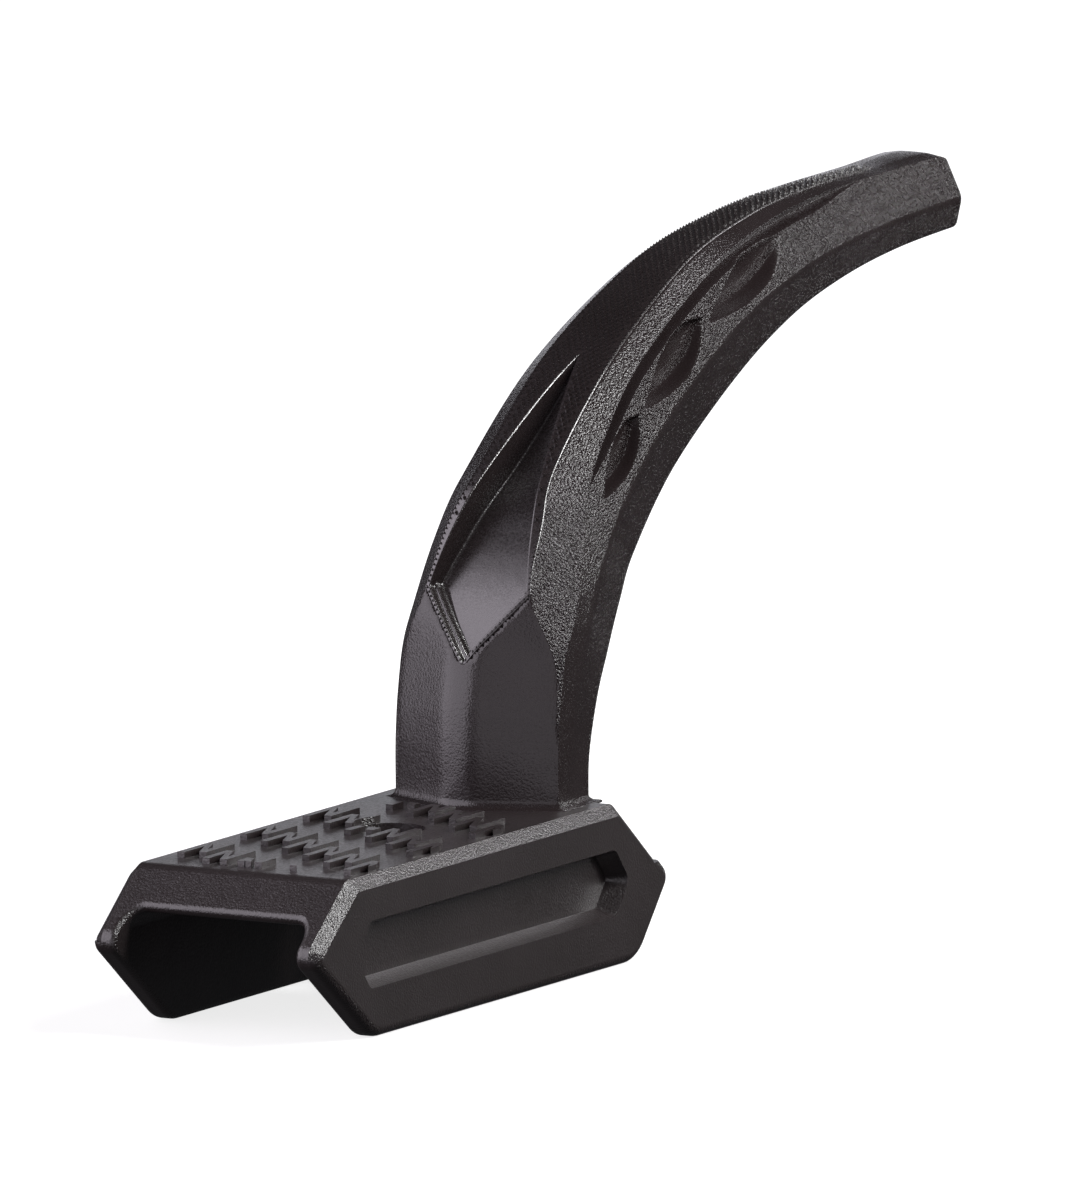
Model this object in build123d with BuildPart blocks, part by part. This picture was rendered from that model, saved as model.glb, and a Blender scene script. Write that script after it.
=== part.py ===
from build123d import *
import math
import os

# A curved horn on a channel foot. The foot drops over a flat bar and bolts down through
# one hole; the horn rises from the back of the foot and sweeps backwards.
# Frame: X across, +Y towards the horn, +Z up. The origin is on the bolt hole's axis, at
# the underside of the foot's top plate, where the bar bears.

# Channel foot, mm
bar_width = 38.0
bar_clearance = 0.25            # each side of the bar
flange_thickness = 5.1
flange_drop = 23.1              # below the underside of the top plate
plate_thickness = 8.0
front_tip = 75.4                # distances along Y from the hole
front_top = 58.5
front_bottom = 50.5
back_top = 46.0
back_tip = 66.6
back_bottom = 53.5
front_tip_rise = 18.0           # tips above the flanges' feet
back_tip_rise = 15.0
tip_radius = 3.0
foot_corner_radius = 9.0
top_corner_radius = 4.0
rim_chamfer = 2.2               # outer edge, above the parting line
rim_radius = 2.0                # outer edge, below it
inner_edge_radius = 1.2
inner_corner_radius = 3.0
hole_diameter = 13.0

# Long blind pocket in each flange
pocket_depth = 4.0
pocket_height = 12.9
pocket_draft = 20.0             # degrees
pocket_margin = 17.2            # flange tip to pocket tip
pocket_point = 5.5              # run of the pocket's pointed ends
pocket_radius = 2.5
pocket_rise = 16.2              # centre above the flanges' feet

# Tread: rows of raised N-shaped teeth
tooth_height = 1.2
tooth_length = 11.2
tooth_bar = 1.5
tooth_width = 5.2
tooth_lean = 1.8                # the second bar stands this much further back
tooth_join = 2.2  # length of the slanting bar's root, in bar widths
tooth_step_x = 7.5
tooth_step_y = -5.6
tooth_start_x = -18.6
row_pitch = 24.6
row_start = -50.0
row_count = 4
teeth_per_row = 6
tread_margin = 0.6              # clear of holes, the horn and the plate's edges

# Horn
horn_front = 25.0               # ridge of the root, from the hole
horn_reach = 187.6              # ridge of the root to the tip
horn_rise = 101.6               # top of the horn above the plate
root_depth = 22.1               # ridge to back, at the root
root_half_width = 17.7
tip_half_width = 9.2
root_back_share = 0.97          # back edge against the widest line, at the root
back_narrowing = 0.86           # and above the grip's V
side_line = 0.43                # height of the widest line on the section
tip_top_radius = 7.0
tip_plan_radius = 5.0
tip_side_margin = 0.5           # the tip's plan outline stands this far off its sides
crest_margin = 0.2              # and its side outline this far above the crest
flare = 2.0                     # spread of the root where it meets the plate
flare_angle = 44.0

# Grip strip and the arrow-shaped recess in it
grip_thickness = 1.5
grip_to_tip = 25.0              # end of the strip to the horn's tip
recess_depth = 3.6
recess_slope = 2.2              # how far the recess narrows from face to floor
recess_border = 0.9             # strip left beside the recess where the V is widest
vee_blunt = 0.4                 # half width of the V's point
arrow_blunt = 0.3               # half width of the recess's points
floor_blunt = 0.2               # half width of its floor there

# Scoops in the horn's sides
scoop_depth = 4.6
scoop_draft = 25.0
scoop_inset = 2.5               # mouth of the scoops, in from the widest line
# Each scoop: place along the rows, share of the section's depth, length, width
scoops = [(5.45, 0.60, 22.0, 8.4), (6.4, 0.62, 31.0, 8.8), (7.45, 0.62, 37.0, 8.0)]

# Horn fixing: two countersunk screws up into brass inserts
tenon_width = 26.0
tenon_length = 9.0
tenon_depth = 3.0
tenon_clearance = 0.15
screw_spacing = 18.0
screw_y = 38.5
screw_diameter = 5.0
screw_length = 16.0
screw_clearance = 0.25
head_diameter = 9.6
head_sink = 0.3                 # head below the plate's underside
head_angle = 90.0
hex_size = 3.0
hex_depth = 1.6
insert_diameter = 7.0
insert_length = 9.5
insert_bore_clearance = 0.02
insert_hole_extra = 2.0         # room past the screw's end

# Values that follow
inner_half = bar_width / 2 + bar_clearance
outer_half = inner_half + flange_thickness
foot_z = -flange_drop
front_tip_z = foot_z + front_tip_rise
back_tip_z = foot_z + back_tip_rise
top_z = plate_thickness
tip_y = horn_front + horn_reach
horn_top = top_z + horn_rise
root_back = horn_front + root_depth
grip_end = tip_y - grip_to_tip
insert_bottom = top_z - tenon_depth
insert_top = insert_bottom + insert_length
screw_end = head_sink + screw_length
screw_places = [(-screw_spacing / 2, screw_y), (screw_spacing / 2, screw_y)]
beyond = 20.0                   # how far cutting tools run past the part
touching = 0.01                 # closer than this counts as the same place

os.makedirs("parts", exist_ok=True)


def finish(piece, name):
    piece.part.label = name
    export_step(piece.part, f"parts/{name}.step")


# ---- Horn sections -------------------------------------------------------------------
# Each row: ridge (y, z), back edge (y, z), half width of the front face, half width and
# height of the shoulder (share of the section's depth), and the front face's keel slope.
# Points are shares of the reach and rise, measured from the root's ridge.
rows = [
    ((0.000, 0.000), (0.118, 0.000), 16.9, 17.5, 0.60, 0.50),
    ((0.001, 0.147), (0.126, 0.085), 16.9, 17.5, 0.63, 0.51),
    ((0.011, 0.313), (0.148, 0.182), 16.2, 17.5, 0.66, 0.49),
    ((0.030, 0.422), (0.174, 0.254), 11.3, 17.4, 0.63, 0.33),
    ((0.072, 0.537), (0.211, 0.348), 10.0, 15.8, 0.70, 0.26),
    ((0.128, 0.631), (0.250, 0.429), 7.9, 13.6, 0.80, 0.18),
    ((0.260, 0.797), (0.344, 0.565), 7.2, 11.2, 0.87, 0.08),
    ((0.432, 0.932), (0.486, 0.698), 5.5, 9.1, 0.87, 0.08),
    ((0.584, 0.984), (0.611, 0.779), 4.0, 7.1, 0.89, 0.08),
    ((0.718, 0.999), (0.732, 0.823), 2.8, 5.8, 0.92, 0.08),
    ((0.856, 1.000), (0.861, 0.846), 2.0, 4.6, 0.94, 0.08),
    ((1.020, 0.996), (1.020, 0.855), 1.3, 3.7, 0.94, 0.08),
]
sections_per_row = 3
vee_tip = 1.76                  # where along the rows the grip's V begins
vee_corner = 3                  # and where it is at its widest
recess_end = 6


def mix(a, b, t):
    return a + (b - a) * t


def through(values, s):
    """A smooth curve through evenly spaced values, read at place s."""
    last = len(values) - 1
    low = min(int(s), last - 1)
    t = s - low
    a, b = values[low], values[low + 1]
    before = values[low - 1] if low > 0 else 2 * a - b
    after = values[low + 2] if low + 2 <= last else 2 * b - a
    bend = (2 * before - 5 * a + 4 * b - after) * t * t
    twist = (3 * a - before - 3 * b + after) * t ** 3
    return a + ((b - before) * t + bend + twist) / 2


def section_at(s):
    """Ridge point, back point, front half width, shoulder and keel at place s on the rows."""
    ridge_y, ridge_z = (through([row[0][i] for row in rows], s) for i in (0, 1))
    back_y, back_z = (through([row[1][i] for row in rows], s) for i in (0, 1))
    front, shoulder, shoulder_at, keel = (through([row[i] for row in rows], s) for i in (2, 3, 4, 5))
    ridge = Vector(0, horn_front + ridge_y * horn_reach, top_z + ridge_z * horn_rise)
    back = Vector(0, horn_front + back_y * horn_reach, top_z + back_z * horn_rise)
    return ridge, back, front, shoulder, shoulder_at, keel


def section_plane(s):
    """Plane across the horn: x across, y from the back edge up to the ridge."""
    ridge, back = section_at(s)[:2]
    up = (ridge - back).normalized()
    return Plane(origin=back, x_dir=(1, 0, 0), z_dir=Vector(1, 0, 0).cross(up))


def widest_half(s):
    start = vee_corner
    t = max(0.0, (s - start) / (len(rows) - 1 - start))
    return mix(root_half_width, tip_half_width, t)


def mirrored(half):
    """A closed outline from its +X half, listed from the ridge down to the back."""
    return half + [(-x, y) for x, y in reversed(half) if x > 0]


def horn_outline(s):
    ridge, back, front, shoulder, shoulder_at, keel = section_at(s)
    depth = (ridge - back).length
    side = widest_half(s)
    back_half = side * mix(root_back_share, back_narrowing, min(1.0, s / vee_corner))
    return mirrored([
        (0, depth),
        (front, depth - keel * front),
        (shoulder, depth * shoulder_at),
        (side, depth * side_line),
        (back_half, 0),
    ])


def outline_loft(start, end, outline):
    """A private solid through many outlines set across the horn, from one place to another."""
    count = math.ceil((end - start) * sections_per_row)
    with BuildPart(mode=Mode.PRIVATE) as body:
        for i in range(count + 1):
            s = mix(start, end, i / count)
            with BuildSketch(section_plane(s)):
                with BuildLine():
                    Polyline(*outline(s), close=True)
                make_face()
        loft(ruled=True)
    return body.part


def grip_half(s):
    """Half width of the knurled strip: a V at the bottom, then the front face's width."""
    if s <= vee_corner:
        return mix(vee_blunt, section_at(vee_corner)[2], (s - vee_tip) / (vee_corner - vee_tip))
    return section_at(s)[2]


def grip_box(s):
    ridge, back, *_, keel = section_at(s)
    depth = (ridge - back).length
    half = grip_half(s)
    floor = depth - keel * half - grip_thickness
    return [(half, floor), (half, depth + beyond), (-half, depth + beyond), (-half, floor)]


def recess_box(s):
    """The arrow-shaped recess: widest and deepest at the V's corners, a point at each end."""
    ridge, back, *_, keel = section_at(s)
    if s <= vee_corner:
        grow = (s - vee_tip) / (vee_corner - vee_tip)
    else:
        grow = (recess_end - s) / (recess_end - vee_corner)
    half = mix(arrow_blunt, section_at(vee_corner)[2] - recess_border, grow)
    sink = mix(grip_thickness, recess_depth, min(1.0, 2 * grow))
    floor_half = max(floor_blunt, half - recess_slope)
    depth = (ridge - back).length
    level = depth - keel * half
    return [
        (floor_half, level - sink),
        (half, level),
        (half, depth + beyond),
        (-half, depth + beyond),
        (-half, level),
        (-floor_half, level - sink),
    ]


# ---- Horn ----------------------------------------------------------------------------
last_row = len(rows) - 1
horn_core = outline_loft(0, last_row, horn_outline)

with BuildPart() as horn_body:
    add(horn_core)
    with BuildSketch(Plane.YZ) as side_view:
        with BuildLine():
            Polyline(
                (horn_front - beyond, top_z),
                (tip_y, top_z),
                (tip_y, horn_top + crest_margin),
                (horn_front - beyond, horn_top + crest_margin),
                close=True,
            )
        make_face()
        fillet(side_view.vertices().group_by(Axis.X)[-1].sort_by(Axis.Y)[-1], tip_top_radius)
    extrude(amount=root_half_width + beyond, both=True, mode=Mode.INTERSECT)
    with BuildSketch(Plane.XY.offset(top_z)) as plan_view:
        nose_half, tail_half = tip_half_width + tip_side_margin, root_half_width + beyond
        with BuildLine():
            Polyline(
                (-tail_half, horn_front - beyond),
                (-tail_half, tip_y - 4 * tip_plan_radius),
                (-nose_half, tip_y - 2 * tip_plan_radius),
                (-nose_half, tip_y),
                (nose_half, tip_y),
                (nose_half, tip_y - 2 * tip_plan_radius),
                (tail_half, tip_y - 4 * tip_plan_radius),
                (tail_half, horn_front - beyond),
                close=True,
            )
        make_face()
        fillet(plan_view.vertices().group_by(Axis.Y)[-1], tip_plan_radius)
    extrude(amount=horn_rise + beyond, mode=Mode.INTERSECT)
    with BuildSketch(Plane.XY.offset(top_z)):
        with BuildLine():
            Polyline(*[(x, root_back - y) for x, y in horn_outline(0)], close=True)
        make_face()
        offset(amount=flare)
    extrude(amount=flare, taper=flare_angle)


# ---- Grip strip ----------------------------------------------------------------------
with BuildPart() as grip_seat:  # the space the strip is let into
    add(outline_loft(vee_tip, last_row, grip_box))
    with BuildSketch(Plane.XZ.offset(-grip_end)):
        Rectangle(4 * root_half_width, 4 * horn_rise)
    extrude(amount=-2 * beyond, mode=Mode.SUBTRACT)

recess_tool = outline_loft(vee_tip, recess_end, recess_box)

with BuildPart() as horn_grip:
    add(horn_body.part)
    add(grip_seat.part, mode=Mode.INTERSECT)
    add(recess_tool, mode=Mode.SUBTRACT)
finish(horn_grip, "horn_grip")


# ---- Horn, cut for the strip, the scoops and the fixings -----------------------------
def scoop_face(side, place, height, length, width):
    """A drop lying along the horn: point towards the root, round end towards the tip."""
    ridge, back = section_at(place)[:2]
    middle = back + (ridge - back) * height
    along = (section_at(place + 0.1)[1] - back).normalized()
    plane = Plane(
        origin=(side * (widest_half(place) - scoop_inset), middle.Y, middle.Z),
        x_dir=along,
        z_dir=(side, 0, 0),
    )
    radius = width / 2
    touch = math.degrees(math.acos(radius / (length - radius)))
    with BuildSketch(plane, mode=Mode.PRIVATE) as drop:
        with BuildLine():
            end = CenterArc((length / 2 - radius, 0), radius, touch - 180, 360 - 2 * touch)
            Polyline(end @ 1, (-length / 2, 0), end @ 0)
        make_face()
    return drop.sketch


with BuildPart() as horn:
    add(horn_body.part)
    add(grip_seat.part, mode=Mode.SUBTRACT)
    add(recess_tool, mode=Mode.SUBTRACT)
    for scoop in scoops:
        for side in (-1, 1):
            mouth = scoop_face(side, *scoop)
            extrude(mouth, amount=-scoop_depth, taper=scoop_draft, mode=Mode.SUBTRACT)
            extrude(mouth, amount=beyond, mode=Mode.SUBTRACT)
    with BuildSketch(Plane.XY.offset(top_z)):
        with Locations((0, screw_y)):
            Rectangle(tenon_width, tenon_length)
    extrude(amount=-tenon_depth)
    with BuildSketch(Plane.XY.offset(insert_bottom)):
        with Locations(*screw_places):
            Circle(insert_diameter / 2)
    extrude(amount=insert_length, mode=Mode.SUBTRACT)
    with BuildSketch(Plane.XY.offset(insert_top)):
        with Locations(*screw_places):
            Circle(screw_diameter / 2 + screw_clearance)
    extrude(amount=screw_end + insert_hole_extra - insert_top, mode=Mode.SUBTRACT)
finish(horn, "horn")


# ---- Channel foot --------------------------------------------------------------------
def rounded_outline(points, radius, plane):
    """A closed polygon with rounded corners, as a face on the given plane."""
    with BuildSketch(plane, mode=Mode.PRIVATE) as outline:
        with BuildLine():
            FilletPolyline(*points, radius=radius, close=True)
        make_face()
    return outline.sketch


def foot_outline():
    """Side outline of the foot, on the centre plane."""
    points = [
        (-front_tip, front_tip_z),
        (-front_top, top_z),
        (back_top, top_z),
        (back_tip, back_tip_z),
        (back_bottom, foot_z),
        (-front_bottom, foot_z),
    ]
    sharp, soft = tip_radius, foot_corner_radius
    radii = [sharp, top_corner_radius, top_corner_radius, sharp, soft, soft]
    return rounded_outline(points, radii, Plane.YZ)


def pocket_outline(side):
    """Six-sided flange pocket on the outer face, its ends in line with the flange's tips."""
    middle = foot_z + pocket_rise
    top, low = middle + pocket_height / 2, middle - pocket_height / 2
    front, back = -front_tip + pocket_margin, back_tip - pocket_margin
    points = [
        (front, middle),
        (front + pocket_point, top),
        (back - pocket_point, top),
        (back, middle),
        (back - pocket_point, low),
        (front + pocket_point, low),
    ]
    return rounded_outline(points, pocket_radius, Plane.YZ.offset(side * outer_half))


with BuildSketch() as tooth:  # an N in plan: two bars along Y, the second further back
    right, slope = tooth_width - tooth_bar, tooth_join * tooth_bar
    with BuildLine():
        Polyline(
            (0, 0),
            (tooth_bar, 0),
            (tooth_bar, tooth_length - slope),
            (right, tooth_lean),
            (tooth_width, tooth_lean),
            (tooth_width, tooth_length + tooth_lean),
            (right, tooth_length + tooth_lean),
            (right, tooth_lean + slope),
            (tooth_bar, tooth_length),
            (0, tooth_length),
            close=True,
        )
    make_face()

tooth_places = [
    (
        tooth_start_x + place * tooth_step_x,
        row_start + row * row_pitch + place * tooth_step_y,
    )
    for row in range(row_count)
    for place in range(teeth_per_row)
]

with BuildSketch() as tread_field:  # where teeth may stand on the top plate
    with Locations((0, (back_top - front_top) / 2)):
        Rectangle(
            2 * (outer_half - rim_chamfer - tread_margin),
            back_top + front_top - 2 * (top_corner_radius + tread_margin),
        )
    Circle(hole_diameter / 2 + tread_margin, mode=Mode.SUBTRACT)
    with Locations((0, horn_front + root_depth / 2)):
        Rectangle(
            2 * (root_half_width + flare + tread_margin),
            root_depth + 2 * (flare + tread_margin),
            mode=Mode.SUBTRACT,
        )


def foot_half(away, edge_tool, size):
    """The solid hexagon on one side of the parting plane, with its outer rims finished."""
    with BuildPart(mode=Mode.PRIVATE) as half:
        extrude(foot_outline(), amount=outer_half, both=True)
        with BuildSketch(Plane.XY.offset(front_tip_z)):
            Rectangle(4 * outer_half, 4 * (front_tip + back_tip))
        extrude(amount=away * (top_z + flange_drop + beyond), mode=Mode.SUBTRACT)
        sides = half.faces().sort_by(Axis.X)
        rims = [
            edge
            for face in (sides[0], sides[-1])
            for edge in face.edges()
            if away * (edge.center().Z - front_tip_z) < -touching
        ]
        edge_tool(rims, size)
    return half.part


with BuildPart() as channel_foot:
    add(foot_half(-1, chamfer, rim_chamfer))
    add(foot_half(1, fillet, rim_radius))
    with BuildSketch(Plane.XZ.offset(front_tip + beyond)) as channel:
        with Locations((0, -flange_drop)):
            Rectangle(2 * inner_half, 2 * flange_drop)
        fillet(channel.vertices().group_by(Axis.Y)[-1], inner_corner_radius)
    extrude(amount=-(front_tip + back_tip + 2 * beyond), mode=Mode.SUBTRACT)
    inner_faces = [
        face
        for face in channel_foot.faces().filter_by(Axis.X)
        if abs(abs(face.center().X) - inner_half) < touching
    ]
    inner_rims = [
        edge
        for face in inner_faces
        for edge in face.edges()
        if edge.center().Z < -inner_corner_radius - touching
    ]
    fillet(inner_rims, inner_edge_radius)
    for side in (-1, 1):
        extrude(
            pocket_outline(side),
            amount=-side * pocket_depth,
            taper=pocket_draft,
            mode=Mode.SUBTRACT,
        )
    with BuildSketch(Plane.XY.offset(top_z)):
        with Locations(*tooth_places):
            add(tooth.sketch)
        add(tread_field.sketch, mode=Mode.INTERSECT)
    extrude(amount=tooth_height)
    with BuildSketch():
        Circle(hole_diameter / 2)
    extrude(amount=top_z + tooth_height + beyond, mode=Mode.SUBTRACT)
    with BuildSketch(Plane.XY.offset(top_z)):
        with Locations((0, screw_y)):
            Rectangle(tenon_width + 2 * tenon_clearance, tenon_length + 2 * tenon_clearance)
    extrude(amount=-tenon_depth - tenon_clearance, mode=Mode.SUBTRACT)
    with Locations(Plane.XY.rotated((180, 0, 0))):
        with Locations(*[(x, -y) for x, y in screw_places]):
            CounterSinkHole(
                screw_diameter / 2 + screw_clearance,
                head_diameter / 2 + head_sink,
                depth=plate_thickness,
                counter_sink_angle=head_angle,
            )
finish(channel_foot, "channel_foot")


# ---- Fixings: countersunk screws from below, into brass inserts ----------------------
for name, place in zip(("left", "right"), screw_places):
    with BuildPart() as screw:
        with BuildSketch(Plane.XY.offset(head_sink)):
            with Locations(place):
                Circle(head_diameter / 2)
        extrude(amount=(head_diameter - screw_diameter) / 2, taper=head_angle / 2)
        with BuildSketch(Plane.XY.offset(head_sink)):
            with Locations(place):
                Circle(screw_diameter / 2)
        extrude(amount=screw_length)
        with BuildSketch(Plane.XY.offset(head_sink)):
            with Locations(place):
                RegularPolygon(hex_size / 2, 6, major_radius=False)
        extrude(amount=hex_depth, mode=Mode.SUBTRACT)
    finish(screw, f"horn_screw_{name}")

    with BuildPart() as insert:
        with BuildSketch(Plane.XY.offset(insert_bottom)):
            with Locations(place):
                Circle(insert_diameter / 2)
                Circle(screw_diameter / 2 + insert_bore_clearance, mode=Mode.SUBTRACT)
        extrude(amount=insert_length)
    finish(insert, f"horn_insert_{name}")
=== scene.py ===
import math

import bpy
import numpy as np
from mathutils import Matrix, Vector


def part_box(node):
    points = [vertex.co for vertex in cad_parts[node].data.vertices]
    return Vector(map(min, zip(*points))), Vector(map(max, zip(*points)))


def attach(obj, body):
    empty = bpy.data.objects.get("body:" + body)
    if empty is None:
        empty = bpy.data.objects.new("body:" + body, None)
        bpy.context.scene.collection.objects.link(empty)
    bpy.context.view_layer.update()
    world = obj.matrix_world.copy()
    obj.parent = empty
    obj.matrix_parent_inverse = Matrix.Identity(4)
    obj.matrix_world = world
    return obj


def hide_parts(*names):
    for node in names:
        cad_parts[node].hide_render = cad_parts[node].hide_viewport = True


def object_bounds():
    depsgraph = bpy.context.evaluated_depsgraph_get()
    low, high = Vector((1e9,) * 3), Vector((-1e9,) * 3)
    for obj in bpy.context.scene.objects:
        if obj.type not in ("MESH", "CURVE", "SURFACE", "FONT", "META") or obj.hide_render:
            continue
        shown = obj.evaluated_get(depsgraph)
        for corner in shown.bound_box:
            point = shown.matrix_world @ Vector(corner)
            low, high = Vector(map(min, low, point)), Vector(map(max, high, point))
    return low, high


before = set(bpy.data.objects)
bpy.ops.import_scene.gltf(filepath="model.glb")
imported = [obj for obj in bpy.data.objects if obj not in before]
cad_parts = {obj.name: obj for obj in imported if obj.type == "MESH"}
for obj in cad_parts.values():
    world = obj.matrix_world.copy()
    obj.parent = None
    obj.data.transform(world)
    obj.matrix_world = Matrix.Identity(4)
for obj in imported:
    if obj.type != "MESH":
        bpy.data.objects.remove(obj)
cadLow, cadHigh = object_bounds()
mm = 0.001  # shapes are worked out in millimetres and put into the meshes in metres
print("frame loaded")


def signedVolume(points, quads):
    # sum of the tetrahedra from the origin to each half of each quad
    a, b, c, d = (points[quads[:, i]] for i in range(4))
    return (np.cross(a, b) * c).sum() + (np.cross(a, c) * d).sum()


def gridQuads(rows, columns, first=0, wrap=True):
    # quads between neighbouring rows of a grid whose columns close on themselves when wrap is true
    i = np.arange(rows - 1)[:, None]
    j = np.arange(columns if wrap else columns - 1)[None, :]
    k = (j + 1) % columns
    corners = [i * columns + j, i * columns + k, (i + 1) * columns + k, (i + 1) * columns + j]
    return first + np.stack([np.broadcast_to(c, (rows - 1, j.size)).ravel() for c in corners], 1)


def capFan(ring, centre):
    # triangles from a closed ring of vertices to one centre vertex
    return np.stack([ring, np.roll(ring, -1), np.full_like(ring, centre)], 1)


def newPiece(name, points, quads, tris, body="root", smooth=True):
    # one mesh object at the origin; every face is turned so that the volume inside is positive
    if signedVolume(points, quads) < 0:
        quads, tris = quads[:, ::-1], tris[:, ::-1]
    mesh = bpy.data.meshes.new(name)
    loops = np.concatenate([quads.ravel(), tris.ravel()])
    sizes = np.concatenate([np.full(len(quads), 4), np.full(len(tris), 3)])
    starts = np.concatenate([[0], np.cumsum(sizes)[:-1]])
    mesh.vertices.add(len(points))
    mesh.vertices.foreach_set("co", (points * mm).astype(np.float32).ravel())
    mesh.loops.add(len(loops))
    mesh.loops.foreach_set("vertex_index", loops.astype(np.int32))
    mesh.polygons.add(len(sizes))
    mesh.polygons.foreach_set("loop_start", starts.astype(np.int32))
    mesh.polygons.foreach_set("use_smooth", np.full(len(sizes), smooth))
    mesh.update(calc_edges=True)
    mesh.validate()
    piece = bpy.data.objects.new(name, mesh)
    bpy.context.scene.collection.objects.link(piece)
    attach(piece, body)
    return piece


def smoothStep(value):
    t = np.clip(value, 0.0, 1.0)
    return t * t * (3 - 2 * t)


hornShape = {
    "reach": 187.6,  # ridge of the root to the tip
    "rise": 101.6,
    "rootHalf": 17.7,
    "tipHalf": 9.2,
    "sideLine": 0.43,  # height of the widest line on a section
    "rootBackShare": 0.97,
    "backShare": 0.86,
    # each row: ridge y, z and back edge y, z as shares of reach and rise, then the half width
    # of the front face, half width and height of the shoulder, and slope of the front face
    "rows": [
        (0.000, 0.000, 0.118, 0.000, 16.9, 17.5, 0.60, 0.50),
        (0.001, 0.147, 0.126, 0.085, 16.9, 17.5, 0.63, 0.51),
        (0.011, 0.313, 0.148, 0.182, 16.2, 17.5, 0.66, 0.49),
        (0.030, 0.422, 0.174, 0.254, 11.3, 17.4, 0.63, 0.33),
        (0.072, 0.537, 0.211, 0.348, 10.0, 15.8, 0.70, 0.26),
        (0.128, 0.631, 0.250, 0.429, 7.9, 13.6, 0.80, 0.18),
        (0.260, 0.797, 0.344, 0.565, 7.2, 11.2, 0.87, 0.08),
        (0.432, 0.932, 0.486, 0.698, 5.5, 9.1, 0.87, 0.08),
        (0.584, 0.984, 0.611, 0.779, 4.0, 7.1, 0.89, 0.08),
        (0.718, 0.999, 0.732, 0.823, 2.8, 5.8, 0.92, 0.08),
        (0.856, 1.000, 0.861, 0.846, 2.0, 5.2, 0.94, 0.08),
        (1.020, 0.996, 1.020, 0.855, 3.4, 6.4, 0.95, 0.08),
    ],
    "keelReach": 4.5,  # the ridge line is rounded over this much each side
    # rows where the front face drops for the strip, and where it comes back up past the strip's end
    "dropRows": (1.2, 1.9, 10.05, 10.65),
    "edgeDrop": 0.5,  # share of that drop that the shoulder takes
    "grooveRows": (4.7, 5.6, 8.6, 9.8),  # the groove beside the shoulder fades in and out
    "grooveDepth": 1.5,
    "grooveFloor": 1.6,
    "lipWidth": 0.55,
    "lipRise": 0.25,
    # rounding at the face's edge, shoulder, groove in and out, lip, side and back
    "cornerReach": (0.45, 0.35, 0.2, 0.2, 0.3, 1.3, 1.2),
    "cornerGap": 0.03,  # keeps the groove's corners apart where it has faded out
    "facetSteps": (16, 8, 2, 2, 2, 28, 10, 5),  # columns of points across each facet
    "lengthSteps": (9, 385, 26),  # rows of points on the root's fillet, the horn and the tip
    "tipTop": 6.0,
    "tipBottom": 3.5,
    "tipClear": 0.1,  # short of the end of the CAD horn
    "tipPlan": 4.0,
    "rootFillet": 2.0,
    "rootSink": 0.3,
    "coreHalf": 3.0,  # no scoop comes nearer the middle than this
}
hornHigh = np.array(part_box("horn")[1]) / mm
tipY = hornHigh[1]
rootY = tipY - hornShape["reach"]
plateTop = hornHigh[2] - hornShape["rise"]
hornRows = np.array(hornShape["rows"])
lastRow = len(hornRows) - 1


def alongRows(s):
    # Catmull-Rom curve through the rows: each value is a cubic between two rows, whose slope
    # at a row is half the step from the row before to the row after
    table = np.vstack([2 * hornRows[0] - hornRows[1], hornRows, 2 * hornRows[-1] - hornRows[-2]])
    s = np.asarray(s, float)
    low = np.clip(np.floor(s).astype(int), 0, lastRow - 1)
    t = (s - low)[..., None]
    before, a, b, after = (table[low + k] for k in range(4))
    bend = (2 * before - 5 * a + 4 * b - after) * t * t
    twist = (3 * a - before - 3 * b + after) * t ** 3
    return a + ((b - before) * t + bend + twist) / 2


def hornSection(s):
    # the section at s: back edge point, unit direction up to the ridge, depth, and the row's values
    values = alongRows(s)
    ridge = np.stack([rootY + values[..., 0] * hornShape["reach"],
                      plateTop + values[..., 1] * hornShape["rise"]], -1)
    back = np.stack([rootY + values[..., 2] * hornShape["reach"],
                     plateTop + values[..., 3] * hornShape["rise"]], -1)
    depth = np.linalg.norm(ridge - back, axis=-1)
    return back, (ridge - back) / depth[..., None], depth, values


def placed(s, x, q):
    # a point at x across and q up from the back edge of the section at s
    back, up, _, _ = hornSection(s)
    return np.stack([x, back[..., 0] + up[..., 0] * q, back[..., 1] + up[..., 1] * q], -1)


# length along the ridge against the row number
rowSteps = np.linspace(0, lastRow, 1500)
ridgeLine = placed(rowSteps, np.zeros_like(rowSteps), hornSection(rowSteps)[2])
lengthSteps = np.concatenate([[0], np.cumsum(np.linalg.norm(np.diff(ridgeLine, axis=0), axis=1))])
tipLength = float(np.interp(tipY - hornShape["tipClear"], ridgeLine[:, 1], lengthSteps))


def rowAt(length):
    return np.interp(length, lengthSteps, rowSteps)


def lengthAt(row):
    return float(np.interp(row, rowSteps, lengthSteps))


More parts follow.
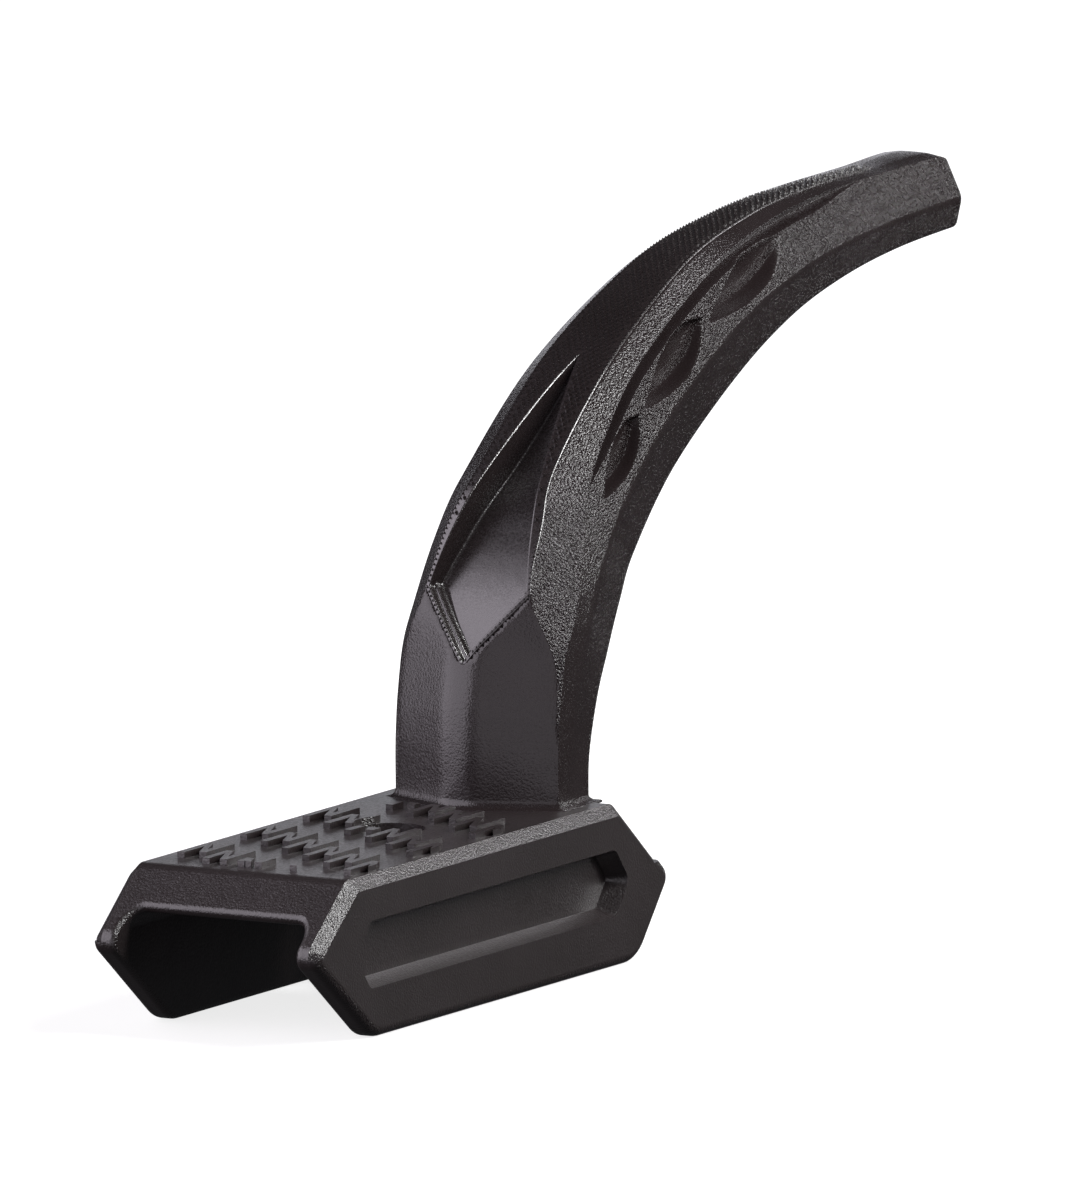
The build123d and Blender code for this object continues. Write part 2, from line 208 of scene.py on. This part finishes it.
gripShape = {
    "veeTip": 1.76,
    "veeCorner": 3.0,
    "recessEnd": 6.0,
    "endToTip": 25.0,
    "veeBlunt": 0.4,
    "border": 0.75,  # width left beside the recess at the V's corners
    "thickness": 1.5,
    # the recess's floor lies this far below the ridge at the V's tip, midway and at its end
    "recessStart": 2.4,
    "recessDeep": 7.4,
    "recessLast": 1.0,
    "legRun": 1.9,  # run of the stepped walls along the V, and of the steep ones above it
    "wallRun": 0.5,
    "stepShare": 0.42,  # share of the legs' run that each of the two steps takes
    "secondStep": 0.6,
    "seatMargin": 0.8,  # the hollow in the horn is this much wider than the recess in the strip
    "seatGap": 0.2,  # under the strip
    "seatInset": 0.35,  # from the strip's edge to where its seat starts
    "seatSlope": 0.9,
    "faceGap": 0.02,  # the strip's top stands this far off the front face
    "studPitch": 1.32,
    "studRow": 1.12,
    "studHeight": 0.7,
    "studWide": 0.46,
    "studLong": 0.54,
    "studTop": 0.42,  # share of the base left flat on top
    "studSink": 0.1,
    "crestDrop": 0.06,  # keeps the crests under the ridge line
    "studToEdge": 0.62,  # share of the pitch kept clear beside the outer row
    "studToRecess": 0.5,
    "edgeInset": 0.36,  # the outer row of studs, in from the strip's edge
    "edgePitch": 1.1,
    "edgeStart": 0.9,  # the outer row starts this far past the V's tip
    "edgeStop": 0.5,
    "edgeSize": 0.6,  # the outer row's studs against the others
}
veeLength, cornerLength, recessEndLength = (
    lengthAt(gripShape[key]) for key in ("veeTip", "veeCorner", "recessEnd"))
gripEndLength = float(np.interp(tipY - gripShape["endToTip"], ridgeLine[:, 1], lengthSteps))
cornerHalf = float(alongRows(gripShape["veeCorner"])[4])


def stripHalf(length):
    # half width of the strip: a straight V up to its corners, then the front face's own width
    face = alongRows(rowAt(length))[..., 4]
    vee = gripShape["veeBlunt"] + (cornerHalf - gripShape["veeBlunt"]) * (
        (length - veeLength) / (cornerLength - veeLength))
    return np.where(length < cornerLength, np.minimum(vee, cornerHalf), face)


def recessHalf(length):
    # half width of the recess: straight from each end to its widest, at the V's corners
    widest = cornerHalf - gripShape["border"]
    rising = widest * (length - veeLength) / (cornerLength - veeLength)
    falling = widest * (recessEndLength - length) / (recessEndLength - cornerLength)
    return np.minimum(rising, falling)


def recessShare(length, x):
    # 0 at the recess's edge to 1 on its floor: two steps down the V's legs, steep walls above it
    widest = cornerHalf - gripShape["border"]
    leg, side = cornerLength - veeLength, recessEndLength - cornerLength
    fromLeg = (widest * (length - veeLength) / leg - np.abs(x)) / math.hypot(1, widest / leg)
    fromSide = (widest * (recessEndLength - length) / side - np.abs(x)) / math.hypot(1, widest / side)
    run = gripShape["legRun"]
    stepRun, secondStep = gripShape["stepShare"] * run, gripShape["secondStep"] * run
    steps = 0.5 * smoothStep(fromLeg / stepRun) + 0.5 * smoothStep((fromLeg - secondStep) / stepRun)
    return np.minimum(steps, np.clip(fromSide / gripShape["wallRun"], 0, 1))


def wallRun(length):
    # the steep walls' run takes over from the stepped ones' just past the V's corners
    share = smoothStep((length - cornerLength) / gripShape["legRun"])
    return gripShape["legRun"] + (gripShape["wallRun"] - gripShape["legRun"]) * share


def faceDrop(s):
    # the front face lies a stud's height lower where the strip is
    start, full, finish, clear = hornShape["dropRows"]
    down = smoothStep((s - start) / (full - start))
    up = smoothStep((s - finish) / (clear - finish))
    return gripShape["studHeight"] * down * (1 - up)


def faceLevel(s, x):
    # height of the front face on its section: two slopes that meet at the ridge over a parabola
    _, _, depth, values = hornSection(s)
    keel, reach = values[..., 7], hornShape["keelReach"]
    ax = np.abs(x)
    fall = np.where(ax < reach, reach / 2 + ax * ax / (2 * reach), ax)
    return depth - keel * fall - faceDrop(s)


def recessDrop(length, s, x, margin=0.0):
    # the recess's floor is flat across, and its fall below the ridge is a straight line between the
    # V's tip and its end plus a parabola that is highest midway
    t = np.clip((length - veeLength) / (recessEndLength - veeLength), 0, 1)
    first, deep, last = (gripShape[key] for key in ("recessStart", "recessDeep", "recessLast"))
    straight = first + (last - first) * t
    fall = straight + (deep - (first + last) / 2) * 4 * t * (1 - t)
    floor = faceLevel(s, np.zeros_like(x)) - fall
    share = recessShare(length, np.maximum(np.abs(x) - margin, 0))
    return share * np.maximum(faceLevel(s, x) - floor, 0)


def roundedProfile(corners, reaches, counts, bend=5):
    # columns of points along straight facets joined by parabolas: each parabola starts and ends
    # one reach from its corner, and never takes more than 0.45 of a facet
    points = [np.stack(corner, -1) for corner in corners]
    starts, ends = [], []
    for k in range(len(points) - 1):
        step = points[k + 1] - points[k]
        size = np.maximum(np.linalg.norm(step, axis=-1, keepdims=True), 1e-9)
        a = np.minimum(reaches[k], 0.45 * size)
        b = np.minimum(reaches[k + 1], 0.45 * size)
        starts.append(points[k] + step / size * a)
        ends.append(points[k + 1] - step / size * b)
    columns = []
    for k, count in enumerate(counts):
        for t in np.linspace(0, 1, count + 1):
            columns.append(starts[k] + (ends[k] - starts[k]) * t)
        if k + 1 < len(counts):
            for t in np.arange(1, bend) / bend:
                corner = 2 * t * (1 - t) * points[k + 1]
                columns.append((1 - t) ** 2 * ends[k] + corner + t * t * starts[k + 1])
    return np.stack(columns, 1)


def sideHalf(s):
    # half width at the widest line: even up to the V's corners, then an even taper to the tip
    taper = np.clip((s - gripShape["veeCorner"]) / (lastRow - gripShape["veeCorner"]), 0, 1)
    return hornShape["rootHalf"] + (hornShape["tipHalf"] - hornShape["rootHalf"]) * taper


scoopShape = {
    # row, share of the section's depth, length, width
    "places": [(5.42, 0.62, 22.5, 8.0), (6.33, 0.63, 31.0, 8.6), (7.4, 0.63, 38.0, 8.0)],
    "depth": 2.2,
    "dish": 0.7,  # how much deeper the floor is in the middle
    "wall": 1.3,
    "widestAt": 0.58,  # share of the length, from the pointed end
    "pointPower": 1.6,
    "roundPower": 2.4,
    "darkFrom": 0.9,  # a hollow this deep gets the full painted shade: its specular is lowered to darken it
}


def scoopSink(x, y, z):
    # how far the sides are hollowed: each scoop is a leaf whose half width is 1 - t ** power of
    # the run to each end, with a steep wall inside its outline and a slightly dished flat floor
    shape = scoopShape
    sink = np.zeros_like(y)
    for place, height, length, width in shape["places"]:
        back, up, depth, values = hornSection(np.array(place))
        ahead = hornSection(np.array(place + 0.1))[0] - back
        ahead = ahead / np.linalg.norm(ahead)
        centre = back + up * depth * height
        u = ((y - centre[0]) * ahead[0] + (z - centre[1]) * ahead[1]) / length + 0.5
        v = -(y - centre[0]) * ahead[1] + (z - centre[1]) * ahead[0]
        toPoint = np.clip((shape["widestAt"] - u) / shape["widestAt"], 0, 1) ** shape["pointPower"]
        toRound = np.clip((u - shape["widestAt"]) / (1 - shape["widestAt"]), 0, 1) ** shape["roundPower"]
        inside = width / 2 * (1 - toPoint - toRound) - np.abs(v)
        down = (values[6] - height) / (values[6] - hornShape["sideLine"])
        faceX = values[5] + (sideHalf(np.array(place)) - values[5]) * down
        dish = shape["dish"] * np.sin(math.pi / 2 * np.clip(2 * inside / width, 0, 1))
        floor = faceX - shape["depth"] - dish
        sink = np.maximum(sink, smoothStep(inside / shape["wall"]) * np.maximum(x - floor, 0))
    return sink


def makeHorn():
    # the horn: one closed skin, a rounded profile carried along the rows from root to tip
    shape = hornShape
    tipRun = shape["tipTop"]
    rootSteps, middleSteps, endSteps = shape["lengthSteps"]
    rootRun = np.linspace(0, shape["rootFillet"], rootSteps)
    middle = np.linspace(shape["rootFillet"], tipLength - tipRun, middleSteps)[1:]
    end = tipLength - tipRun * (1 - np.sin(np.linspace(0, math.pi / 2, endSteps)))[1:]
    length = np.concatenate([rootRun, middle, end])
    s = rowAt(length)
    back, up, depth, values = hornSection(s)
    front, shoulder, shoulderAt, keel = (values[:, k] for k in range(4, 8))
    side = sideHalf(s)
    backHalf = side * (shape["rootBackShare"] + (shape["backShare"] - shape["rootBackShare"]) * np.clip(
        s / gripShape["veeCorner"], 0, 1))
    on, full, fade, off = shape["grooveRows"]
    groove = smoothStep((s - on) / (full - on)) * (1 - smoothStep((s - fade) / (off - fade))) + 1e-3
    zero = np.zeros_like(s)
    level = faceLevel(s, front)
    # below the shoulder the groove steps in, runs flat, and climbs to a lip on the facet's own plane
    gap = shape["cornerGap"]
    edgeX, edgeQ = shoulder, depth * shoulderAt - faceDrop(s) * shape["edgeDrop"]
    grooveX = edgeX - shape["grooveDepth"] * groove
    inQ = edgeQ - gap
    outQ = inQ - gap - shape["grooveFloor"] * groove
    lipQ = outQ - gap - shape["lipWidth"] * groove
    sideQ = depth * shape["sideLine"]
    lipX = edgeX + (side - edgeX) * (edgeQ - lipQ) / (edgeQ - sideQ) + shape["lipRise"] * groove
    corners = [
        (zero, faceLevel(s, zero)),
        (front, level),
        (edgeX, edgeQ),
        (grooveX, inQ),
        (grooveX, outQ),
        (lipX, lipQ),
        (side, sideQ),
        (backHalf, zero),
        (zero, zero),
    ]
    counts = shape["facetSteps"]
    reaches = (0.0, *shape["cornerReach"], 0.0)
    half = roundedProfile(corners, reaches, counts)
    x, q = half[..., 0], half[..., 1]
    faceColumns = counts[0] + 1
    q[:, :faceColumns] = faceLevel(s[:, None], x[:, :faceColumns])
    # seat under the grip strip
    lengthGrid = np.broadcast_to(length[:, None], x.shape)
    inStrip = np.minimum(stripHalf(lengthGrid) - np.abs(x), lengthGrid - veeLength)
    inStrip = np.minimum(inStrip, gripEndLength - lengthGrid)
    seat = smoothStep((inStrip - gripShape["seatInset"]) / gripShape["seatSlope"])
    seat = seat * (gripShape["thickness"] + gripShape["seatGap"])
    under = recessDrop(lengthGrid, s[:, None], x, gripShape["seatMargin"])
    seat = seat + np.where(seat > 0, under, 0)
    seat[:, faceColumns:] = 0
    q = q - seat
    # hollows in the sides
    y = back[:, :1] + up[:, :1] * q
    z = back[:, 1:] + up[:, 1:] * q
    hollow = scoopSink(x, y, z)
    hollow[:, :faceColumns + counts[1]] = 0
    hollow = np.minimum(hollow, np.maximum(x - shape["coreHalf"], 0))
    x = x - hollow
    # tip: the section draws in on a quarter circle from above, from below and from the sides
    toTip = (tipLength - length)[:, None]

    def drawIn(radius):
        t = np.clip(radius - toTip, 0, radius)
        return radius - np.sqrt(radius * radius - t * t)

    top, low, across = (drawIn(shape[key]) for key in ("tipTop", "tipBottom", "tipPlan"))
    widest = side[:, None]
    x = x * (widest - across) / widest
    deep = depth[:, None] - faceDrop(s)[:, None]
    q = low + q / deep * (deep - low - top)
    # root: a hollow fillet spreads the section onto the plate
    radius = shape["rootFillet"]
    rise = np.clip(radius - length, 0, radius)[:, None]
    spread = radius - np.sqrt(radius * radius - rise * rise)
    x = x * (1 + spread / widest)
    q = (q - deep / 2) * (1 + 2 * spread / deep) + deep / 2
    x = np.concatenate([x, -x[:, -2:0:-1]], 1)
    q = np.concatenate([q, q[:, -2:0:-1]], 1)
    sGrid = np.broadcast_to(s[:, None], x.shape)
    grid = placed(sGrid, x, q)
    sunk = grid[:1].copy()
    sunk[..., 2] -= shape["rootSink"]
    grid = np.concatenate([sunk, grid])
    rows, columns = grid.shape[:2]
    points = grid.reshape(-1, 3)
    points = np.vstack([points, grid[0].mean(0), grid[-1].mean(0)])
    quads = gridQuads(rows, columns)
    first = np.arange(columns)
    last = (rows - 1) * columns + first
    tris = np.vstack([capFan(first, rows * columns)[:, ::-1], capFan(last, rows * columns + 1)])
    piece = newPiece("hornBody", points, quads, tris)
    # how far each point is hollowed goes to the material, which lowers its specular there as painted shade in
    # the hollows
    hollowShade = np.clip(hollow / scoopShape["darkFrom"], 0, 1)
    hollowShade = np.concatenate([hollowShade, hollowShade[:, -2:0:-1]], 1)
    hollowShade = np.concatenate([hollowShade[:1], hollowShade]).ravel()
    hollowShade = np.concatenate([hollowShade, np.zeros(2)])
    piece.data.attributes.new("hollow", "FLOAT", "POINT").data.foreach_set("value", hollowShade.astype(np.float32))
    return piece


def makeStrip():
    # the strip: a thin slab that follows the front face and dips into the recess
    length = np.concatenate([
        np.linspace(veeLength, cornerLength, 60)[:-1],
        np.linspace(cornerLength, recessEndLength, 170)[:-1],
        np.linspace(recessEndLength, gripEndLength, 130),
    ])
    half = stripHalf(length)
    # shares of the half width that keep the three bands of columns apart where the recess ends
    narrow, thin, wide = 0.12, 0.05, 0.97
    hollow = np.clip(recessHalf(length), narrow * half, wide * half)
    floor = np.clip(hollow - wallRun(length), thin * half, wide * hollow)
    ramps = [np.linspace(0, 1, n) for n in (12, 12, 9)]
    bands = [(0 * half, floor), (floor, hollow), (hollow, half)]
    parts = [a[:, None] + (b - a)[:, None] * t[None, :] for (a, b), t in zip(bands, ramps)]
    side = np.concatenate([parts[0], parts[1][:, 1:], parts[2][:, 1:]], 1)
    x = np.concatenate([-side[:, :0:-1], side], 1)
    lengthGrid = np.broadcast_to(length[:, None], x.shape)
    s = rowAt(lengthGrid)
    top = faceLevel(s, x) + gripShape["faceGap"] - recessDrop(lengthGrid, s, x)
    upper = placed(s, x, top)
    lower = placed(s, x, top - gripShape["thickness"])
    rows, columns = x.shape
    points = np.vstack([upper.reshape(-1, 3), lower.reshape(-1, 3)])
    under = rows * columns
    upperQuads = gridQuads(rows, columns, wrap=False)
    lowerQuads = upperQuads[:, ::-1] + under
    index = np.arange(under).reshape(rows, columns)
    rim = np.concatenate([index[0, :-1], index[:-1, -1], index[-1, :0:-1], index[:0:-1, 0]])
    after = np.roll(rim, -1)
    walls = np.stack([rim, rim + under, after + under, after], 1)
    quads = np.vstack([upperQuads, lowerQuads, walls])
    return points, quads


def studPlaces():
    # studs stand in offset rows over the strip, with one more row of smaller ones along each edge:
    # the columns are length, x across and size
    shape = gripShape
    centres = []
    rowCount = int((gripEndLength - veeLength) / shape["studRow"])
    for k in range(rowCount):
        length = veeLength + (k + 0.5) * shape["studRow"]
        half = float(stripHalf(np.array(length)))
        hole = float(recessHalf(np.array(length)))
        reach = int(half / shape["studPitch"]) + 1
        x = (np.arange(-reach, reach + 1) + 0.5 * (k % 2)) * shape["studPitch"]
        clearEdge = half - np.abs(x) > shape["edgeInset"] + shape["studToEdge"] * shape["studPitch"]
        clearHole = np.abs(x) > hole + shape["studToRecess"]
        above = np.full(len(x), length > cornerLength)
        keep = clearEdge & clearHole & above
        count = keep.sum()
        centres.append(np.stack([np.full(count, length), x[keep], np.ones(count)], 1))
    legSlope = (cornerHalf - shape["veeBlunt"]) / (cornerLength - veeLength)
    legStep = shape["edgePitch"] / math.hypot(1, legSlope)
    legs = np.arange(veeLength + shape["edgeStart"], cornerLength, legStep)
    sides = np.arange(cornerLength, gripEndLength - shape["edgeStop"], shape["edgePitch"])
    for run, inset in ((legs, shape["edgeInset"] * math.hypot(1, legSlope)), (sides, shape["edgeInset"])):
        edge = stripHalf(run) - inset
        for sign in (-1, 1):
            centres.append(np.stack([run, sign * edge, np.full(len(run), shape["edgeSize"])], 1))
    return np.vstack(centres)


def makeGrip():
    # the strip and its studs: each stud is a small four-sided frustum on a diamond base
    points, quads = makeStrip()
    centres = studPlaces()
    length, x, size = centres[:, 0], centres[:, 1], centres[:, 2:]

    def onFace(length, x):
        s = rowAt(length)
        return placed(s, x, faceLevel(s, x) + gripShape["faceGap"])

    step = 0.2
    base = onFace(length, x)
    forward = onFace(length + step, x) - onFace(length - step, x)
    across = onFace(length, x + step) - onFace(length, x - step)
    forward /= np.linalg.norm(forward, axis=1, keepdims=True)
    across /= np.linalg.norm(across, axis=1, keepdims=True)
    normal = np.cross(across, forward)
    normal /= np.linalg.norm(normal, axis=1, keepdims=True)
    foot = base - normal * gripShape["studSink"]
    crest = base + normal * (gripShape["studHeight"] - gripShape["crestDrop"]) * size
    wide, long = gripShape["studWide"] * size, gripShape["studLong"] * size
    ring = [forward * long, across * wide, -forward * long, -across * wide]
    bottom = np.stack([foot + offset for offset in ring], 1)
    top = np.stack([crest + offset * gripShape["studTop"] for offset in ring], 1)
    count = len(centres)
    studs = np.concatenate([bottom, top], 1).reshape(-1, 3)
    first = len(points) + 8 * np.arange(count)[:, None]
    sides = [[k, (k + 1) % 4, 4 + (k + 1) % 4, 4 + k] for k in range(4)]
    shape = np.array(sides + [[4, 5, 6, 7], [3, 2, 1, 0]])
    if signedVolume(studs[:8] - studs[:8].mean(0), shape) < 0:
        shape = shape[:, ::-1]
    if signedVolume(points, quads) < 0:
        quads = quads[:, ::-1]
    studQuads = (first[:, :, None] + shape[None]).reshape(-1, 4)
    allPoints = np.vstack([points, studs])
    allQuads = np.vstack([quads, studQuads])
    piece = newPiece("knurledGrip", allPoints, allQuads, np.zeros((0, 3), int))
    flat = np.concatenate([np.full(len(quads), True), np.full(len(studQuads), False)])
    piece.data.polygons.foreach_set("use_smooth", flat)
    return piece


hornBody = makeHorn()
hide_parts("horn")
knurledGrip = makeGrip()
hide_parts("horn_grip")
print("horn and grip made", len(hornBody.data.polygons), len(knurledGrip.data.polygons))


def newMaterial(name):
    material = bpy.data.materials.new(name)
    material.use_nodes = True
    nodes, links = material.node_tree.nodes, material.node_tree.links
    return material, nodes, links, nodes["Principled BSDF"]


def noiseNode(nodes, links, coords, scale, detail=2.0, rough=0.5):
    noise = nodes.new("ShaderNodeTexNoise")
    noise.inputs["Scale"].default_value = scale
    noise.inputs["Detail"].default_value = detail
    noise.inputs["Roughness"].default_value = rough
    links.new(coords, noise.inputs["Vector"])
    return noise


def rangeNode(nodes, links, value, low, high, fromLow=0.3, fromHigh=0.7):
    span = nodes.new("ShaderNodeMapRange")
    for key, number in (("From Min", fromLow), ("From Max", fromHigh), ("To Min", low), ("To Max", high)):
        span.inputs[key].default_value = number
    links.new(value, span.inputs["Value"])
    return span.outputs["Result"]


def mouldedPlastic(name, settings):
    # dark moulded plastic: cloudy colour, fine grain in the bump and gloss, and more of that grain on
    # surfaces slanted between the front and the side; painted shade in the hollows, where the specular is
    # lowered
    material, nodes, links, shader = newMaterial(name)
    coords = nodes.new("ShaderNodeTexCoord").outputs["Object"]
    cloud = noiseNode(nodes, links, coords, settings["cloudScale"], 3)
    grain = noiseNode(nodes, links, coords, settings["grainScale"], 1, 0.6)
    wide = noiseNode(nodes, links, coords, settings["waveScale"], 2)
    mix = nodes.new("ShaderNodeMix")
    mix.data_type = "RGBA"
    mix.inputs["A"].default_value = (*settings["dark"], 1)
    mix.inputs["B"].default_value = (*settings["light"], 1)
    links.new(rangeNode(nodes, links, cloud.outputs["Fac"], 0, 1), mix.inputs["Factor"])
    links.new(mix.outputs["Result"], shader.inputs["Base Color"])
    low, high = settings["roughness"]
    links.new(rangeNode(nodes, links, grain.outputs["Fac"], low, high), shader.inputs["Roughness"])
    # painted shade: the specular falls with the depth of the hollows, to darken the scoops
    hollow = nodes.new("ShaderNodeAttribute")
    hollow.attribute_name = "hollow"
    full, hollowShade = settings["specular"], settings["hollowShadeSpecular"]
    gloss = rangeNode(nodes, links, hollow.outputs["Fac"], full, hollowShade, 0, 1)
    links.new(gloss, shader.inputs["Specular IOR Level"])
    swell = nodes.new("ShaderNodeBump")
    swell.inputs["Distance"].default_value = settings["waveHeight"]
    links.new(wide.outputs["Fac"], swell.inputs["Height"])
    bump = nodes.new("ShaderNodeBump")
    bump.inputs["Distance"].default_value = settings["grainHeight"]
    facing = nodes.new("ShaderNodeSeparateXYZ")
    links.new(nodes.new("ShaderNodeTexCoord").outputs["Normal"], facing.inputs["Vector"])
    sideways = nodes.new("ShaderNodeMath")
    sideways.operation = "ABSOLUTE"
    links.new(facing.outputs["X"], sideways.inputs[0])
    weak, strong = settings["grainShare"]
    slanted = nodes.new("ShaderNodeMath")
    slanted.operation = "MULTIPLY"
    facingX = sideways.outputs["Value"]
    rising = rangeNode(nodes, links, facingX, weak, strong, *settings["slantRange"])
    falling = rangeNode(nodes, links, facingX, 1, settings["flatShare"], *settings["sideRange"])
    links.new(rising, slanted.inputs[0])
    links.new(falling, slanted.inputs[1])
    links.new(slanted.outputs["Value"], bump.inputs["Strength"])
    links.new(grain.outputs["Fac"], bump.inputs["Height"])
    links.new(swell.outputs["Normal"], bump.inputs["Normal"])
    links.new(bump.outputs["Normal"], shader.inputs["Normal"])
    return material


plasticLook = {
    "dark": (0.0104, 0.0072, 0.0072),
    "light": (0.0146, 0.0106, 0.0110),
    "cloudScale": 60,
    "grainScale": 2300,
    "grainHeight": 0.0007,
    "grainShare": (0.12, 1.0),  # on the front, and on the slanted facets
    "slantRange": (0.5, 0.72),  # the grain grows over these values of the sideways facing
    "flatShare": 0.2,  # of the grain, left on the sides
    "sideRange": (0.97, 0.995),
    "waveScale": 120,
    "waveHeight": 0.00008,
    "roughness": (0.18, 0.30),
    "specular": 0.5,
    # specular in the deepest hollows, a painted shade
    "hollowShadeSpecular": 0.1,
}
footLook = dict(plasticLook, grainHeight=0.0003, grainShare=(0.3, 1.0), roughness=(0.28, 0.42), specular=0.75)
gripLook = dict(plasticLook, grainHeight=0.00006, roughness=(0.2, 0.32), specular=1.0)


metalLook = {"noiseScale": 900, "shade": 0.8, "roughSpan": 0.15}


def metal(name, colour, roughness):
    # turned or plated metal: fine noise in the gloss and a slight colour change
    material, nodes, links, shader = newMaterial(name)
    coords = nodes.new("ShaderNodeTexCoord").outputs["Object"]
    noise = noiseNode(nodes, links, coords, metalLook["noiseScale"], 3)
    mix = nodes.new("ShaderNodeMix")
    mix.data_type = "RGBA"
    mix.inputs["A"].default_value = (*colour, 1)
    mix.inputs["B"].default_value = (*[c * metalLook["shade"] for c in colour], 1)
    links.new(rangeNode(nodes, links, noise.outputs["Fac"], 0, 1), mix.inputs["Factor"])
    links.new(mix.outputs["Result"], shader.inputs["Base Color"])
    gloss = rangeNode(nodes, links, noise.outputs["Fac"], roughness, roughness + metalLook["roughSpan"])
    links.new(gloss, shader.inputs["Roughness"])
    shader.inputs["Metallic"].default_value = 1.0
    return material


def wear(piece, material):
    piece.data.materials.clear()
    piece.data.materials.append(material)


hornPlastic = mouldedPlastic("hornPlastic", plasticLook)
footPlastic = mouldedPlastic("footPlastic", footLook)
gripPlastic = mouldedPlastic("gripPlastic", gripLook)
screwSteel = metal("screwSteel", (0.50, 0.50, 0.51), 0.28)
insertBrass = metal("insertBrass", (0.72, 0.55, 0.26), 0.25)
wear(hornBody, hornPlastic)
wear(knurledGrip, gripPlastic)
for name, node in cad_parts.items():
    if name.startswith("horn_screw"):
        wear(node, screwSteel)
    elif name.startswith("horn_insert"):
        wear(node, insertBrass)
    elif name == "channel_foot":
        wear(node, footPlastic)
print("materials made")


stageLook = {
    "floorSize": 8.0,
    "floorGlow": (0.8, 1.0),  # beside the object, and away from it
    "floorRun": (0.13, 0.26),  # distances over which the glow rises
    "floorColour": 0.3,
    "floorGap": 0.00005,  # metres below the flanges
    "worldSeen": 1.0,
    "worldLight": 0.05,
}


def makeFloor():
    # a pale plane at the flanges' lower edges that mostly glows, so only the contact shadow shows
    size = stageLook["floorSize"]
    mesh = bpy.data.meshes.new("floor")
    level = cadLow.z - stageLook["floorGap"]
    mesh.from_pydata([(-size, -size, level), (size, -size, level), (size, size, level), (-size, size, level)],
                     [], [(0, 1, 2, 3)])
    floor = bpy.data.objects.new("floor", mesh)
    bpy.context.scene.collection.objects.link(floor)
    material, nodes, links, shader = newMaterial("floorPale")
    shader.inputs["Base Color"].default_value = (stageLook["floorColour"],) * 3 + (1,)
    shader.inputs["Roughness"].default_value = 1.0
    shader.inputs["Specular IOR Level"].default_value = 0.0
    shader.inputs["Emission Color"].default_value = (1, 1, 1, 1)
    away = nodes.new("ShaderNodeVectorMath")
    away.operation = "LENGTH"
    links.new(nodes.new("ShaderNodeTexCoord").outputs["Object"], away.inputs[0])
    glow = rangeNode(nodes, links, away.outputs["Value"], *stageLook["floorGlow"], *stageLook["floorRun"])
    links.new(glow, shader.inputs["Emission Strength"])
    mesh.materials.append(material)
    floor.visible_glossy = False
    floor.visible_diffuse = False
    floor.visible_shadow = False


def makeWorld():
    # white to the camera, and only a faint even fill as light
    world = bpy.data.worlds.new("studio")
    world.use_nodes = True
    bpy.context.scene.world = world
    nodes, links = world.node_tree.nodes, world.node_tree.links
    seen = nodes["Background"]
    seen.inputs["Color"].default_value = (1, 1, 1, 1)
    seen.inputs["Strength"].default_value = stageLook["worldSeen"]
    fill = nodes.new("ShaderNodeBackground")
    fill.inputs["Color"].default_value = (0.92, 0.94, 1, 1)
    fill.inputs["Strength"].default_value = stageLook["worldLight"]
    path = nodes.new("ShaderNodeLightPath")
    mix = nodes.new("ShaderNodeMixShader")
    links.new(path.outputs["Is Camera Ray"], mix.inputs["Fac"])
    links.new(fill.outputs["Background"], mix.inputs[1])
    links.new(seen.outputs["Background"], mix.inputs[2])
    links.new(mix.outputs["Shader"], nodes["World Output"].inputs["Surface"])


lookAt = Vector((0.0, 0.0572, 0.0436))
softLights = [
    # name, azimuth and elevation from the object, distance, width, height, watts, colour
    ("frontLeft", -42, 22, 1.0, 1.7, 1.3, 19.0, (0.97, 0.90, 1.0)),
    ("frontRight", 25, -2, 1.0, 0.6, 0.8, 1.4, (0.98, 0.92, 1.0)),
    ("sideRight", 98, 42, 0.9, 0.2, 0.6, 12.0, (1.0, 1.0, 1.0)),
    ("sideBack", 128, 14, 0.9, 0.14, 0.28, 3.4, (1.0, 1.0, 1.0)),
    ("backRight", 154, 30, 0.9, 0.26, 0.26, 2.4, (1.0, 0.97, 1.0)),
    ("backCard", 209, 7, 0.45, 0.2, 0.1, 0.08, (0.93, 0.93, 1.0)),
]


def makeLights():
    for name, azimuth, elevation, distance, width, height, watts, colour in softLights:
        lamp = bpy.data.lights.new(name, "AREA")
        lamp.shape = "RECTANGLE"
        lamp.size, lamp.size_y = width, height
        lamp.energy = watts
        lamp.color = colour
        light = bpy.data.objects.new(name, lamp)
        a, e = math.radians(azimuth), math.radians(elevation)
        away = Vector((math.sin(a) * math.cos(e), -math.cos(a) * math.cos(e), math.sin(e)))
        light.location = lookAt + away * distance
        light.rotation_euler = (-away).to_track_quat("-Z", "Y").to_euler()
        light.visible_camera = False
        bpy.context.scene.collection.objects.link(light)


cameraLook = {"azimuth": 28.5, "elevation": 9.0, "distance": 20.0, "lens": 3175.0, "sensor": 36.0}


def makeCamera():
    data = bpy.data.cameras.new("camera")
    data.sensor_width = cameraLook["sensor"]
    data.lens = cameraLook["lens"]
    data.clip_start, data.clip_end = 1, 100
    camera = bpy.data.objects.new("camera", data)
    a, e = math.radians(cameraLook["azimuth"]), math.radians(cameraLook["elevation"])
    away = Vector((math.sin(a) * math.cos(e), -math.cos(a) * math.cos(e), math.sin(e)))
    camera.location = lookAt + away * cameraLook["distance"]
    camera.rotation_euler = (-away).to_track_quat("-Z", "Y").to_euler()
    bpy.context.scene.collection.objects.link(camera)
    bpy.context.scene.camera = camera


makeFloor()
makeWorld()
makeLights()
makeCamera()
bpy.context.scene.view_settings.view_transform = "Standard"
print("stage, lights and camera made")
